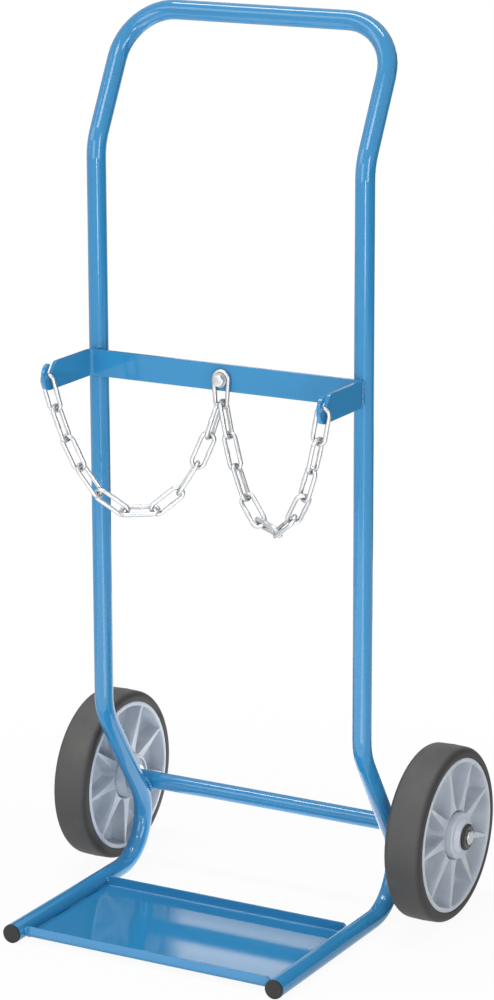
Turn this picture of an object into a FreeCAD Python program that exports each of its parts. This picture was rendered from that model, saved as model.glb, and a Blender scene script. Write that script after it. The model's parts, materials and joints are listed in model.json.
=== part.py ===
import FreeCAD, Part
import math
import os
import Sketcher
from FreeCAD import Placement, Rotation, Vector

os.makedirs("parts", exist_ok=True)

# Gas cylinder trolley: a bent tube frame on two wheels, with a tray for the cylinders and chains round them.
# X runs across, to the right seen from the front, Y to the back, Z up from the floor.
doc = FreeCAD.newDocument("gas_cylinder_trolley")

# Driving dimensions in millimetres, angles in degrees
driving = {
    "tube_diameter": 26.9,
    "tube_wall": 2.3,
    "upright_spacing": 412.9,
    "handle_height": 1255.25,
    "handle_setback": 93.6,
    "lean_rise": 176.75,
    "slope_start_height": 265.3,
    "slope_angle": 32.9,
    "foot_reach": 255.0,
    "handle_bend_radius": 75.0,
    "kink_bend_radius": 75.0,
    "rear_bend_radius": 70.0,
    "plug_head": 4.0,
    "plug_stem": 16.0,
    "plug_rebate": 0.25,
    "plug_edge": 1.5,
    "wheel_diameter": 250.0,
    "tyre_width": 55.0,
    "tyre_shoulder": 9.0,
    "tyre_thickness": 15.5,
    "rim_lip": 6.0,
    "rim_draft": 3.0,
    "rim_edge": 1.2,
    "web_thickness": 6.0,
    "rib_count": 9,
    "rib_root_width": 13.0,
    "rib_tip_width": 3.6,
    "rib_recess": 2.0,
    "boss_wall": 3.5,
    "right_wheel_turn": 22.0,
    "left_wheel_turn": 5.0,
    "hub_diameter": 65.0,
    "hub_length": 82.0,
    "hub_wall": 5.0,
    "hub_recess": 4.0,
    "hub_edge": 2.0,
    "hub_shoulder": 6.5,
    "hub_collar_height": 6.5,
    "hub_collar_slope": 4.0,
    "bush_diameter": 28.0,
    "bush_length": 25.0,
    "bush_seat_wall": 3.0,
    "axle_diameter": 20.0,
    "axle_chamfer": 1.5,
    "axle_stand_out": 3.2,
    "axle_tube_diameter": 25.0,
    "axle_tube_overhang": 17.5,
    "thrust_washer_diameter": 36.0,
    "thrust_washer_thickness": 2.4,
    "lock_ring_diameter": 37.6,
    "lock_ring_height": 4.5,
    "lock_ring_edge": 1.8,
    "lock_ring_crown": 29.0,
    "lock_ring_sheet": 1.5,
    "strap_height": 37.0,
    "strap_thickness": 5.0,
    "strap_bottom": 758.0,
    "strap_overhang": 14.1,
    "strap_bend_radius": 5.0,
    "arm_reach": 139.5,
    "arm_end_radius": 15.0,
    "slot_setback": 13.5,
    "slot_depth": 19.5,
    "slot_angle": 37.0,
    "slot_play": 5.0,
    "slot_lip_radius": 1.8,
    "slot_mouth_radius": 9.0,
    "tray_thickness": 2.5,
    "tray_ground_gap": 7.0,
    "tray_lip": 16.5,
    "tray_front_setback": 15.0,
    "tray_depth": 221.0,
    "tray_bend_radius": 2.5,
    "tray_corner_radius": 5.0,
    "bolt_rise": 16.5,
    "bolt_play": 2.0,
    "bolt_head_width": 16.0,
    "bolt_head_height": 6.4,
    "bolt_end": 3.0,
    "bolt_hole_gap": 0.4,
    "washer_diameter": 20.0,
    "washer_thickness": 2.0,
    "nut_height": 8.0,
    "nut_collar": 2.0,
    "nut_collar_diameter": 14.4,
    "link_wire": 6.0,
    "link_inner_length": 45.2,
    "link_width": 24.0,
    "centre_link_inner_length": 42.5,
    "link_count": 10,
    "left_twist_lateness": 3.0,
    "right_twist_lateness": 0.7,
    "left_slack_twist": 4.0,
    "right_slack_twist": -46.0,
    "swing_gap": 0.9,
    "link_gap": 0.6,
    "moving_gap": 0.3,
    "fit_gap": 0.05,
}
sheet = doc.addObject("Spreadsheet::Sheet", "sizes")
for row, (alias, value) in enumerate(driving.items(), 1):
    sheet.set(f"A{row}", alias)
    sheet.set(f"B{row}", str(value))
    sheet.setAlias(f"B{row}", alias)
doc.recompute()
pieces = []


def val(alias):
    return float(sheet.get(alias))


# Places that follow from these sizes: heights from the floor, depths from the plane of the uprights
tube_radius = val("tube_diameter") / 2
half_spacing = val("upright_spacing") / 2
lean_start_height = val("handle_height") - val("lean_rise")
foot_end = val("foot_reach") - val("plug_head")
slope = math.radians(val("slope_angle"))
rear_corner = (val("slope_start_height") - tube_radius) * math.tan(slope)
rear_radius = val("rear_bend_radius")
rear_centre_y = rear_corner - rear_radius * math.tan(math.pi / 4 + slope / 2)
rear_centre_z = tube_radius + rear_radius

# The axle tube is welded to the back of the frame tube: it touches either the rear bend or the slope
axle_z = val("wheel_diameter") / 2
weld_distance = tube_radius + val("axle_tube_diameter") / 2
bend_reach = rear_radius + weld_distance
if axle_z < rear_centre_z + bend_reach * math.sin(slope):
    axle_y = rear_centre_y + math.sqrt(bend_reach ** 2 - (axle_z - rear_centre_z) ** 2)
else:
    axle_y = (val("slope_start_height") - axle_z) * math.tan(slope) + weld_distance / math.cos(slope)

# The origin is on the floor, midway between the plugs' faces and the back of the wheels
upright_y = (val("foot_reach") - axle_y - val("wheel_diameter") / 2) / 2
axle_tube_half = half_spacing + val("axle_tube_overhang")
hub_inner_x = axle_tube_half + val("thrust_washer_thickness") + val("moving_gap")
wheel_x = hub_inner_x + val("hub_length") / 2
lock_ring_x = hub_inner_x + val("hub_length") + val("moving_gap")
axle_half = lock_ring_x + val("lock_ring_height") + val("axle_stand_out")


def at(x, y, z):
    return Vector(x, y + upright_y, z)


# Small helpers for bound sketches and features
def new_body(name):
    body = doc.addObject("PartDesign::Body", name)
    pieces.append(body)
    return body


def origin_feature(body, role):
    return next(feature for feature in body.Origin.OriginFeatures if feature.Role == role)


def new_sketch(body, name, role):
    sketch = body.newObject("Sketcher::SketchObject", name)
    sketch.AttachmentSupport = [(origin_feature(body, role), "")]
    sketch.MapMode = "FlatFace"
    return sketch


def bind(sketch, kind, places, formula):
    value = float(sketch.evalExpression(formula))
    index = sketch.addConstraint(Sketcher.Constraint(kind, *places, value))
    sketch.setExpression(f"Constraints[{index}]", formula)


def pin_point(sketch, geometry, point, x, y):
    for formula, kind, axis in ((x, "DistanceX", -2), (y, "DistanceY", -1)):
        if formula == "0":
            sketch.addConstraint(Sketcher.Constraint("PointOnObject", geometry, point, axis))
        else:
            bind(sketch, kind, (-1, 1, geometry, point), formula)


def outline(sketch, corners):
    spots = [Vector(*(float(sketch.evalExpression(formula)) for formula in corner), 0) for corner in corners]
    for start, end in zip(spots, spots[1:] + spots[:1]):
        sketch.addGeometry(Part.LineSegment(start, end))
    for index, corner in enumerate(corners):
        line_before = (index - 1) % len(corners)
        sketch.addConstraint(Sketcher.Constraint("Coincident", line_before, 2, index, 1))
        pin_point(sketch, index, 1, *corner)


def circle(sketch, x, y, diameter):
    spot = Vector(float(sketch.evalExpression(x)), float(sketch.evalExpression(y)), 0)
    radius = float(sketch.evalExpression(diameter)) / 2
    index = sketch.addGeometry(Part.Circle(spot, Vector(0, 0, 1), radius))
    pin_point(sketch, index, 3, x, y)
    bind(sketch, "Diameter", (index,), diameter)


def turned(name, corners):
    # A lathe profile of axial place and radius, turned about the body's X axis
    body = new_body(name)
    sketch = new_sketch(body, name + "_profile", "XY_Plane")
    outline(sketch, corners)
    feature = body.newObject("PartDesign::Revolution", name + "_turned")
    feature.Profile = sketch
    feature.ReferenceAxis = (sketch, ["H_Axis"])
    doc.recompute()
    return body


def turned_ring(name, start, end, inner, outer):
    return turned(name, [(start, inner), (end, inner), (end, outer), (start, outer)])


def pad(body, sketch, formula, symmetric=False):
    feature = body.newObject("PartDesign::Pad", sketch.Name + "_pad")
    feature.Profile = sketch
    feature.SideType = "Symmetric" if symmetric else "One side"
    feature.setExpression("Length", formula)
    doc.recompute()
    return feature


def pocket(body, sketch):
    before = body.Shape.Volume
    feature = body.newObject("PartDesign::Pocket", sketch.Name + "_pocket")
    feature.Profile = sketch
    feature.Type = "ThroughAll"
    feature.SideType = "Symmetric"
    doc.recompute()
    if body.Shape.Volume >= before:
        raise RuntimeError(f"{sketch.Name} removes nothing")
    return feature


def dress(body, kind, size_name, formula, wanted):
    # A fillet or chamfer on the edges that the test picks out
    base = body.Tip
    edges = [f"Edge{index}" for index, edge in enumerate(base.Shape.Edges, 1) if wanted(edge)]
    feature = body.newObject(f"PartDesign::{kind}", f"{body.Name}_{kind.lower()}_{len(body.Group)}")
    feature.Base = (base, edges)
    feature.setExpression(size_name, formula)
    doc.recompute()
    return feature


same_place = 1e-4


def near(value, target):
    return abs(value - target) < same_place


def is_ring(edge, radius):
    return isinstance(edge.Curve, Part.Circle) and near(edge.Curve.Radius, radius)


def is_straight(edge, axis):
    return isinstance(edge.Curve, Part.Line) and near(abs(edge.Curve.Direction.dot(axis)), 1)


along_x = Vector(1, 0, 0)
along_y = Vector(0, 1, 0)
along_z = Vector(0, 0, 1)
turn_to_y = Rotation(along_x, -90)


def primitive(kind, name, **formulas):
    feature = doc.addObject(f"Part::{kind}", name)
    for size_name, formula in formulas.items():
        feature.setExpression(size_name, formula)
    return feature


def combine(kind, name, base, tool):
    feature = doc.addObject(f"Part::{kind}", name)
    feature.Base = base
    feature.Tool = tool
    doc.recompute()
    return feature


# Frame: one tube bent eight times, from the left foot over the handle to the right foot
def rounded_path(corners, radii):
    edges = []
    start = corners[0]
    for before, corner, after, radius in zip(corners, corners[1:], corners[2:], radii):
        to_before = (before - corner).normalize()
        to_after = (after - corner).normalize()
        half_angle = to_before.getAngle(to_after) / 2
        run = radius / math.tan(half_angle)
        inward = (to_before + to_after).normalize()
        enter = corner + to_before * run
        leave = corner + to_after * run
        middle = corner + inward * (radius / math.sin(half_angle) - radius)
        edges += [Part.makeLine(start, enter), Part.Arc(enter, middle, leave).toShape()]
        start = leave
    edges.append(Part.makeLine(start, corners[-1]))
    return Part.Wire(edges)


def frame_leg(side):
    return [
        at(side * half_spacing, -foot_end, tube_radius),
        at(side * half_spacing, rear_corner, tube_radius),
        at(side * half_spacing, 0, val("slope_start_height")),
        at(side * half_spacing, 0, lean_start_height),
        at(side * half_spacing, val("handle_setback"), val("handle_height")),
    ]


def frame_tube():
    leg_radii = [rear_radius, val("kink_bend_radius"), val("kink_bend_radius"), val("handle_bend_radius")]
    route = doc.addObject("Part::Feature", "frame_route")
    route.Shape = rounded_path(frame_leg(-1) + frame_leg(1)[::-1], leg_radii + leg_radii[::-1])
    solids = []
    for name, radius in (("frame_outside", "sizes.tube_diameter / 2"),
                         ("frame_bore", "sizes.tube_diameter / 2 - sizes.tube_wall")):
        section = primitive("Circle", name + "_section", Radius=radius)
        section.Placement = Placement(frame_leg(-1)[0], turn_to_y)
        sweep = doc.addObject("Part::Sweep", name)
        sweep.Sections = [section]
        sweep.Spine = (route, [f"Edge{index}" for index in range(1, len(route.Shape.Edges) + 1)])
        sweep.Solid = True
        doc.recompute()
        solids.append(sweep)
    pieces.append(combine("Cut", "main_frame_tube", *solids))


def foot_plug(name, side):
    # A black push-in end plug: a flush head with a softened edge, and a stem in the tube's bore
    head_radius = "sizes.tube_diameter / 2 - sizes.plug_rebate"
    stem_radius = "sizes.tube_diameter / 2 - sizes.tube_wall - sizes.fit_gap"
    body = turned(name, [
        ("-sizes.plug_head", "0"),
        ("-sizes.plug_head", head_radius),
        ("0", head_radius),
        ("0", stem_radius),
        ("sizes.plug_stem", stem_radius),
        ("sizes.plug_stem", "0"),
    ])
    front = -val("plug_head")
    dress(body, "Fillet", "Radius", "sizes.plug_edge",
          lambda edge: is_ring(edge, tube_radius - val("plug_rebate")) and near(edge.Curve.Center.x, front))
    body.Placement = Placement(frame_leg(side)[0], Rotation(along_z, 90))


# Platform: a folded sheet tray between the feet, with a low lip at the front and the back
def platform_tray():
    body = new_body("platform_tray")
    sketch = new_sketch(body, "tray_section", "YZ_Plane")
    sheet_edge = "sizes.tray_depth - sizes.tray_thickness"
    outline(sketch, [
        ("0", "0"),
        ("sizes.tray_depth", "0"),
        ("sizes.tray_depth", "sizes.tray_lip"),
        (sheet_edge, "sizes.tray_lip"),
        (sheet_edge, "sizes.tray_thickness"),
        ("sizes.tray_thickness", "sizes.tray_thickness"),
        ("sizes.tray_thickness", "sizes.tray_lip"),
        ("0", "sizes.tray_lip"),
    ])
    pad(body, sketch, "sizes.upright_spacing - sizes.tube_diameter", symmetric=True)
    lip_top = val("tray_lip")
    for height, radius in ((0, "sizes.tray_bend_radius + sizes.tray_thickness"),
                           (val("tray_thickness"), "sizes.tray_bend_radius")):
        dress(body, "Fillet", "Radius", radius,
              lambda edge: is_straight(edge, along_x) and near(edge.BoundBox.ZMax, height)
              and near(edge.BoundBox.ZMin, height))
    dress(body, "Fillet", "Radius", "sizes.tray_corner_radius",
          lambda edge: is_straight(edge, along_y) and near(edge.BoundBox.ZMin, lip_top))
    body.Placement.Base = at(0, val("tray_front_setback") - val("foot_reach"), val("tray_ground_gap"))


# Chain strap: a flat bar bent to a U, welded to the front of the uprights, with a hook slot in each arm
def chain_strap():
    body = new_body("chain_strap")
    sketch = new_sketch(body, "strap_plan", "XY_Plane")
    outer = "(sizes.upright_spacing + sizes.strap_overhang) / 2"
    inner = f"({outer} - sizes.strap_thickness)"
    back = "-sizes.tube_diameter / 2"
    front = f"{back} - sizes.strap_thickness"
    end = "-sizes.arm_reach"
    outline(sketch, [
        (f"-{outer}", back), (outer, back), (outer, end), (inner, end),
        (inner, front), (f"-{inner}", front), (f"-{inner}", end), (f"-{outer}", end),
    ])
    pad(body, sketch, "sizes.strap_height")
    back_y = -tube_radius
    front_y = back_y - val("strap_thickness")
    end_y = -val("arm_reach")
    outer_x = half_spacing + val("strap_overhang") / 2
    inner_x = outer_x - val("strap_thickness")
    for corner_x, corner_y, radius in (
            (outer_x, back_y, "sizes.strap_bend_radius + sizes.strap_thickness"),
            (inner_x, front_y, "sizes.strap_bend_radius")):
        dress(body, "Fillet", "Radius", radius,
              lambda edge: is_straight(edge, along_z) and near(abs(edge.BoundBox.XMin), corner_x)
              and near(edge.BoundBox.YMin, corner_y))
    dress(body, "Fillet", "Radius", "sizes.arm_end_radius",
          lambda edge: is_straight(edge, along_x) and near(edge.BoundBox.YMax, end_y))
    # The slot slants down towards the arm's end, so that a link can't lift out by itself
    width = "(sizes.link_wire + sizes.slot_play)"
    seat_y = "(sizes.slot_setback - sizes.arm_reach)"
    seat_z = f"(sizes.strap_height - sizes.slot_depth + {width} / 2)"
    slant, upright = "sin(sizes.slot_angle)", "cos(sizes.slot_angle)"
    mouth = "(2 * sizes.slot_depth)"
    slot = new_sketch(body, "hook_slot", "YZ_Plane")
    outline(slot, [
        (f"{seat_y} - {width} / 2 * {upright}", f"{seat_z} + {width} / 2 * {slant}"),
        (f"{seat_y} + {width} / 2 * {upright}", f"{seat_z} - {width} / 2 * {slant}"),
        (f"{seat_y} + {width} / 2 * {upright} + {mouth} * {slant}",
         f"{seat_z} - {width} / 2 * {slant} + {mouth} * {upright}"),
        (f"{seat_y} - {width} / 2 * {upright} + {mouth} * {slant}",
         f"{seat_z} + {width} / 2 * {slant} + {mouth} * {upright}"),
    ])
    pocket(body, slot)
    seat = new_sketch(body, "hook_seat", "YZ_Plane")
    circle(seat, seat_y, seat_z, width)
    pocket(body, seat)
    hole = new_sketch(body, "bolt_hole", "XZ_Plane")
    circle(hole, "0", "sizes.bolt_rise", f"{bolt_diameter} + 2 * sizes.bolt_hole_gap")
    pocket(body, hole)
    # Where the slot meets the arm's upper edge: a wide round behind the mouth, a small one on the finger
    angle = math.radians(val("slot_angle"))
    mouth_y = val("slot_setback") - val("arm_reach") + (val("slot_depth") - slot_width / 2) * math.tan(angle)
    half_mouth = slot_width / 2 / math.cos(angle)
    for lip_y, radius in ((mouth_y + half_mouth, "sizes.slot_mouth_radius"),
                          (mouth_y - half_mouth, "sizes.slot_lip_radius")):
        dress(body, "Fillet", "Radius", radius,
              lambda edge: is_straight(edge, along_x) and near(edge.BoundBox.YMin, lip_y))
    body.Placement.Base = at(0, 0, val("strap_bottom"))


# Fasteners of the chain: bolt, two washers and a lock nut through the middle of the strap
bolt_diameter = "(sizes.link_width - 2 * sizes.link_wire - sizes.bolt_play)"
slot_width = val("link_wire") + val("slot_play")
bar_front = -tube_radius - val("strap_thickness")
bolt_z = val("strap_bottom") + val("bolt_rise")
bolt_radius = val("link_width") / 2 - val("link_wire") - val("bolt_play") / 2
washer_back = bar_front - val("link_wire") - 2 * val("moving_gap")
head_back = washer_back - val("washer_thickness")


def hexagon(name, width, height):
    prism = primitive("Prism", name, Circumradius=f"{width} / sqrt(3)", Height=height)
    prism.Polygon = 6
    return prism


def chain_bolt():
    head = hexagon("bolt_head", "sizes.bolt_head_width", "sizes.bolt_head_height")
    head.Placement.Base.z = -val("bolt_head_height")
    length = ("2 * sizes.washer_thickness + sizes.link_wire + 2 * sizes.moving_gap"
              " + sizes.strap_thickness + sizes.nut_height + sizes.nut_collar + sizes.bolt_end")
    shank = primitive("Cylinder", "bolt_shank", Radius=f"{bolt_diameter} / 2", Height=length)
    bolt = combine("Fuse", "chain_bolt", head, shank)
    bolt.Placement = Placement(at(0, head_back, bolt_z), turn_to_y)
    pieces.append(bolt)


def washer(name, back_y):
    disc = primitive("Cylinder", name + "_disc", Radius="sizes.washer_diameter / 2",
                     Height="sizes.washer_thickness")
    bore = primitive("Cylinder", name + "_bore", Radius=f"{bolt_diameter} / 2 + sizes.fit_gap",
                     Height="sizes.washer_thickness")
    ring = combine("Cut", name, disc, bore)
    ring.Placement = Placement(at(0, back_y, bolt_z), turn_to_y)
    pieces.append(ring)


def lock_nut():
    prism = hexagon("nut_hexagon", "sizes.bolt_head_width", "sizes.nut_height")
    collar = primitive("Cylinder", "nut_collar_ring", Radius="sizes.nut_collar_diameter / 2",
                       Height="sizes.nut_height + sizes.nut_collar")
    bore = primitive("Cylinder", "nut_bore", Radius=f"{bolt_diameter} / 2 + sizes.fit_gap",
                     Height="sizes.nut_height + sizes.nut_collar")
    nut = combine("Cut", "lock_nut", combine("Fuse", "nut_blank", prism, collar), bore)
    nut.Placement = Placement(at(0, val("washer_thickness") - tube_radius, bolt_z), turn_to_y)
    pieces.append(nut)


# Axle: a tube welded behind the frame, with the axle rod right through it
def axle():
    place = Placement(at(0, axle_y, axle_z), Rotation())
    tube_half = "(sizes.upright_spacing / 2 + sizes.axle_tube_overhang)"
    tube = turned_ring("axle_tube", f"-{tube_half}", tube_half, "sizes.axle_diameter / 2 + sizes.fit_gap",
                       "sizes.axle_tube_diameter / 2")
    tube.Placement = place
    rod_half = (f"({tube_half} + sizes.thrust_washer_thickness + 2 * sizes.moving_gap + sizes.hub_length"
                " + sizes.lock_ring_height + sizes.axle_stand_out)")
    rod = turned("axle_rod", [(f"-{rod_half}", "0"), (rod_half, "0"), (rod_half, "sizes.axle_diameter / 2"),
                              (f"-{rod_half}", "sizes.axle_diameter / 2")])
    dress(rod, "Chamfer", "Size", "sizes.axle_chamfer", lambda edge: is_ring(edge, val("axle_diameter") / 2))
    rod.Placement = place


def outward(side):
    # Turns a part drawn for the right side so that its outer end points outwards on either side
    return Rotation() if side > 0 else Rotation(along_z, 180)


def axle_end(word, side):
    washer_ring = turned_ring(f"{word}_thrust_washer", "0", "sizes.thrust_washer_thickness",
                              "sizes.axle_diameter / 2 + sizes.fit_gap", "sizes.thrust_washer_diameter / 2")
    washer_ring.Placement = Placement(at(side * axle_tube_half, axle_y, axle_z), outward(side))
    # A push-on lock ring: a domed spring plate that grips the rod outside the hub
    height, sheet_mm = "sizes.lock_ring_height", "sizes.lock_ring_sheet"
    rim, crown = "sizes.lock_ring_diameter / 2", "sizes.lock_ring_crown / 2"
    grip = "sizes.axle_diameter / 2 + sizes.fit_gap"
    ring = turned(f"{word}_lock_ring", [
        ("0", rim),
        ("sizes.lock_ring_edge", rim),
        (height, crown),
        (height, grip),
        (f"{height} - {sheet_mm}", grip),
        (f"{height} - {sheet_mm}", f"{crown} - {sheet_mm} / 2"),
        (f"sizes.lock_ring_edge - {sheet_mm} / 4", f"{rim} - {sheet_mm}"),
        ("0", f"{rim} - {sheet_mm}"),
    ])
    ring.Placement = Placement(at(side * lock_ring_x, axle_y, axle_z), outward(side))


# Wheel: a solid rubber tyre on a ribbed plastic rim, with a hub and two plain bushes on the rod
def wheel(word, side):
    place = Placement(at(side * wheel_x, axle_y, axle_z),
                      Rotation(along_x, val(f"{word}_wheel_turn")) * outward(side))
    half_width = "sizes.tyre_width / 2"
    rim_radius = "sizes.wheel_diameter / 2 - sizes.tyre_thickness"
    tyre = turned_ring(f"{word}_tyre", f"-{half_width}", half_width, f"{rim_radius} + sizes.fit_gap",
                       "sizes.wheel_diameter / 2")
    dress(tyre, "Fillet", "Radius", "sizes.tyre_shoulder",
          lambda edge: is_ring(edge, val("wheel_diameter") / 2))

    web = "sizes.web_thickness / 2"
    rib_face = f"({half_width} - sizes.rib_recess)"
    boss = "sizes.hub_diameter / 2 + sizes.boss_wall"
    bore = "sizes.hub_diameter / 2 + sizes.fit_gap"
    lip = f"{rim_radius} - sizes.rim_lip"
    dish = f"{lip} - sizes.rim_draft"
    rim = turned(f"{word}_rim", [
        (f"-{half_width}", rim_radius), (half_width, rim_radius), (half_width, lip), (web, dish),
        (web, boss), (rib_face, boss), (rib_face, bore), (f"-{rib_face}", bore),
        (f"-{rib_face}", boss), (f"-{web}", boss), (f"-{web}", dish), (f"-{half_width}", lip),
    ])
    dress(rim, "Fillet", "Radius", "sizes.rim_edge",
          lambda edge: is_ring(edge, val("wheel_diameter") / 2 - val("tyre_thickness") - val("rim_lip")))
    rib = new_sketch(rim, f"{word}_rib", "YZ_Plane")
    root, tip = "sizes.hub_diameter / 2 + sizes.boss_wall / 2", f"{rim_radius} - sizes.rim_lip / 2"
    outline(rib, [(root, "-sizes.rib_root_width / 2"), (tip, "-sizes.rib_tip_width / 2"),
                  (tip, "sizes.rib_tip_width / 2"), (root, "sizes.rib_root_width / 2")])
    first_rib = pad(rim, rib, f"2 * {rib_face}", symmetric=True)
    ribs = rim.newObject("PartDesign::PolarPattern", f"{word}_ribs")
    ribs.Originals = [first_rib]
    ribs.Axis = (origin_feature(rim, "X_Axis"), [""])
    ribs.setExpression("Occurrences", "sizes.rib_count")
    rim.Tip = ribs

    end = "sizes.hub_length / 2"
    seat = "sizes.bush_diameter / 2 + sizes.fit_gap"
    recess_end = f"-{end} + sizes.hub_recess"
    recess_wall = "sizes.hub_diameter / 2 - sizes.hub_wall"
    seat_wall = "sizes.bush_diameter / 2 + sizes.bush_seat_wall"
    # A low cone on the hub's outer face carries the lock ring
    collar_start = f"{end} - sizes.hub_collar_height"
    collar_foot = "sizes.hub_diameter / 2 - sizes.hub_shoulder"
    hub = turned(f"{word}_hub", [
        (end, seat), (end, f"{collar_foot} - sizes.hub_collar_slope"), (collar_start, collar_foot),
        (collar_start, "sizes.hub_diameter / 2"), (f"-{end}", "sizes.hub_diameter / 2"),
        (f"-{end}", recess_wall), (recess_end, recess_wall), (recess_end, seat_wall),
        (f"-{end}", seat_wall), (f"-{end}", seat),
    ])
    dress(hub, "Chamfer", "Size", "sizes.hub_edge", lambda edge: is_ring(edge, val("hub_diameter") / 2))
    parts = [tyre, rim, hub]
    for where, start, stop in (("outer", f"{end} - sizes.bush_length", end),
                               ("inner", f"-{end}", f"-{end} + sizes.bush_length")):
        parts.append(turned_ring(f"{word}_{where}_bush", start, stop,
                                 "sizes.axle_diameter / 2 + sizes.fit_gap", "sizes.bush_diameter / 2"))
    for part in parts:
        part.Placement = place


# Chain: welded long links, each a round wire bent to a closed stadium
def chain_link(name, inner_length="sizes.link_inner_length"):
    body = new_body(name)
    bend = "(sizes.link_width - sizes.link_wire) / 2"
    straight = f"{inner_length} + 2 * sizes.link_wire - sizes.link_width"
    radius = float(body.evalExpression(bend))
    half = float(body.evalExpression(straight)) / 2
    route = new_sketch(body, name + "_route", "XY_Plane")
    route.addGeometry(Part.LineSegment(Vector(-half, radius, 0), Vector(half, radius, 0)))
    route.addGeometry(Part.LineSegment(Vector(half, -radius, 0), Vector(-half, -radius, 0)))
    for side, start in ((1, -math.pi / 2), (-1, math.pi / 2)):
        crown = Part.Circle(Vector(side * half, 0, 0), Vector(0, 0, 1), radius)
        route.addGeometry(Part.ArcOfCircle(crown, start, start + math.pi))
    for joint in ((0, 2, 2, 2), (2, 1, 1, 1), (1, 2, 3, 2), (3, 1, 0, 1)):
        route.addConstraint(Sketcher.Constraint("Tangent", *joint))
    route.addConstraint(Sketcher.Constraint("Symmetric", 2, 3, 3, 3, -1, 1))
    route.addConstraint(Sketcher.Constraint("PointOnObject", 2, 3, -1))
    bind(route, "Radius", (2,), bend)
    bind(route, "DistanceX", (0, 1, 0, 2), straight)
    section = new_sketch(body, name + "_section", "YZ_Plane")
    circle(section, bend, "0", "sizes.link_wire")
    wire = body.newObject("PartDesign::AdditivePipe", name + "_wire")
    wire.Profile = section
    wire.Spine = (route, [f"Edge{index}" for index in range(1, 5)])
    return body


wire_radius = val("link_wire") / 2
inner_radius = val("link_width") / 2 - val("link_wire")
half_inner = val("link_inner_length") / 2
wire_play = inner_radius - wire_radius - val("moving_gap")
link_count = int(val("link_count"))
halvings = 60
flattest_step, steepest_step = 0.001, 100
slack_spread = 4


def joint_room(turn, gap):
    # Crowns that meet at a bend touch beside their middles, so a bent joint takes up more of each link
    offset = (inner_radius + wire_radius) * math.sin(turn / 2)
    spare = (inner_radius - wire_radius - gap) ** 2 - offset ** 2
    return (inner_radius - wire_radius - math.sqrt(max(spare, 0)) / math.cos(turn / 2)) / 2


def hanging_links(span, rise):
    # In a hanging chain each link is steeper than the one before by the same step, counted from the lowest.
    # For each link: its slope, and the lengths from its middle to the joints before and after it.
    def links(step, lowest):
        slopes = [step * (index - lowest) for index in range(link_count)]
        turns = [math.atan(after) - math.atan(before) for before, after in zip(slopes, slopes[1:])]
        gaps = [val("swing_gap")] + [val("link_gap")] * (link_count - 3) + [val("swing_gap")]
        rooms = [joint_room(turn, gap) for turn, gap in zip(turns, gaps)]
        before_middle = [half_inner - inner_radius] + [half_inner - room for room in rooms]
        after_middle = [half_inner - room for room in rooms] + [half_inner + wire_radius]
        return list(zip(slopes, before_middle, after_middle))

    def reach(step, lowest):
        shares = [(each, (before + after) / math.hypot(1, each))
                  for each, before, after in links(step, lowest)]
        return sum(share for each, share in shares), sum(share * each for each, share in shares)

    def solve(low, high, too_low):
        for halving in range(halvings):
            middle = (low + high) / 2
            if too_low(middle):
                low = middle
            else:
                high = middle
        return (low + high) / 2

    def lowest_for(step):
        return solve(-link_count, 2 * link_count, lambda lowest: reach(step, lowest)[1] > rise)

    step = solve(flattest_step, steepest_step, lambda step: reach(step, lowest_for(step))[0] > span)
    return links(step, lowest_for(step))


def hang_chain(word, side, end):
    # The first link's crown straddles the arm, with the crown's middle straight under the slot's seat
    half_plate = val("strap_thickness") / 2
    arm_x = half_spacing + val("strap_overhang") / 2 - half_plate
    seat_z = val("strap_bottom") + val("strap_height") - val("slot_depth")
    crown_drop = math.sqrt((inner_radius - val("moving_gap")) ** 2 - half_plate ** 2)
    joint = at(side * arm_x, val("slot_setback") - val("arm_reach"), seat_z - crown_drop)
    run = end - joint
    span = math.hypot(run.x, run.y)
    along = Vector(run.x / span, run.y / span, 0)
    across = Vector(along.y, -along.x, 0)
    # Each link stands square to the one before, and the chain turns a little more on its way,
    # so that its first link goes through the arm and its last one through the middle link.
    # The slack links near the middle of the chain are also rolled a little aside.
    first_roll = math.degrees(math.atan2(abs(along.y), abs(along.x)))
    last_roll = 90 - first_roll
    square_roll = first_roll + 90 * (link_count - 1)
    drift = (last_roll - square_roll + 90) % 180 - 90
    joints = []
    for index, (each, before, after) in enumerate(hanging_links(span, run.z)):
        direction = (along + Vector(0, 0, each)).normalize()
        in_plane = across.cross(direction)
        share = index / (link_count - 1)
        twist = drift * share ** val(f"{word}_twist_lateness")
        twist += val(f"{word}_slack_twist") * math.sin(math.pi * share) ** slack_spread
        roll = -side * math.radians(first_roll + 90 * index + twist)
        width_way = in_plane * math.cos(roll) + across * math.sin(roll)
        link = chain_link(f"{word}_chain_link_{index + 1:02d}")
        link.Placement = Placement(joint + direction * before,
                                   Rotation(direction, width_way, direction.cross(width_way), "XYZ"))
        joint = joint + direction * (before + after)
        joints.append(joint)
    # The end links stay on their seats, and those between swing about the line through their outer joints
    chain_axes[word] = (joints[0], joints[-2])


def chains():
    crown_top = bolt_z + bolt_radius + val("fit_gap")
    link_y = bar_front - val("moving_gap") - wire_radius
    inner_length = val("centre_link_inner_length")
    middle = chain_link("centre_chain_link", "sizes.centre_link_inner_length")
    middle.Placement = Placement(at(0, link_y, crown_top - inner_length / 2),
                                 Rotation(Vector(0, 0, -1), along_x, -along_y, "XYZ"))
    # Both chains end in the middle link's lower crown, the left one low in it and the right one above it
    crown_z = crown_top - inner_length + inner_radius
    low = wire_play / math.sqrt(2)
    lift = math.sqrt((2 * wire_radius + val("moving_gap")) ** 2 - (low + wire_play) ** 2)
    hang_chain("left", -1, at(-low, link_y, crown_z - low))
    hang_chain("right", 1, at(wire_play, link_y, crown_z - low + lift))


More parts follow.
